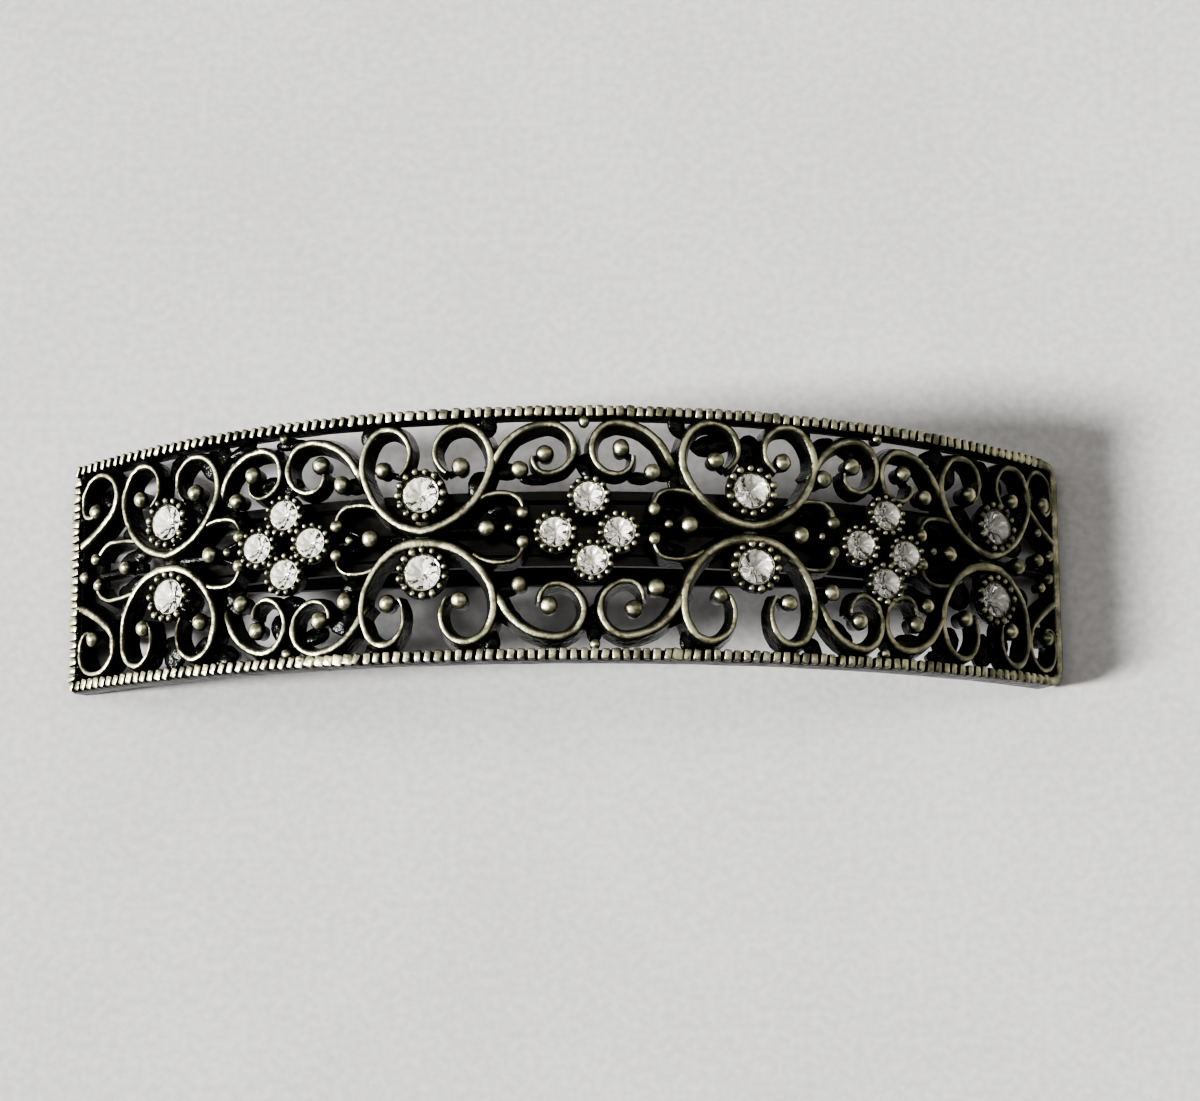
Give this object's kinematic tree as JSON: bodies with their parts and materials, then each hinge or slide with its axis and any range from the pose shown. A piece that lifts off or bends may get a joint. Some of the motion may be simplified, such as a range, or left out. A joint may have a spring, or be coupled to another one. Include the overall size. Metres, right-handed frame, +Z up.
{
  "type": "rhinestone barrette",
  "caption": "Bowed hair barrette: an openwork casting of scrolls, cups and clear cut stones over a sprung hair clip with a hinged arm.",
  "frame": {"origin": "on the surface that the barrette lies on, under the middle of the plate", "axes": "+X along the barrette, towards the catch; +Y across it; +Z up through the decorated face"},
  "size_m": [0.0904, 0.0224, 0.0203],
  "materials": {
    "cast_metal": "antiqued silver-coloured casting, bright on the high edges and dark in the recesses",
    "clip_steel": "plain pressed and plated steel, satin",
    "spring_steel": "plain rolled spring steel, satin",
    "cut_glass": "clear cut glass with a foiled back"
  },
  "bodies": {
    "barrette": {"plate": "cast_metal", "clip_base": "clip_steel", "tension_bar": "spring_steel", "hinge_pin": "clip_steel", "stone_01": "cut_glass", "stone_02": "cut_glass", "stone_03": "cut_glass", "stone_04": "cut_glass", "stone_05": "cut_glass", "stone_06": "cut_glass", "stone_07": "cut_glass", "stone_08": "cut_glass", "stone_09": "cut_glass", "stone_10": "cut_glass", "stone_11": "cut_glass", "stone_12": "cut_glass", "stone_13": "cut_glass", "stone_14": "cut_glass", "stone_15": "cut_glass", "stone_16": "cut_glass", "stone_17": "cut_glass", "stone_18": "cut_glass", "stone_19": "cut_glass", "stone_20": "cut_glass"},
    "arm": {"clip_arm": "clip_steel"}
  },
  "joints": [
    {"name": "arm_hinge", "type": "hinge", "parent": "barrette", "child": "arm", "pos_m": [-0.0319, 0.0007, 0.00512], "axis": [0, 1, 0], "range_deg": [0, 85]}
  ]
}
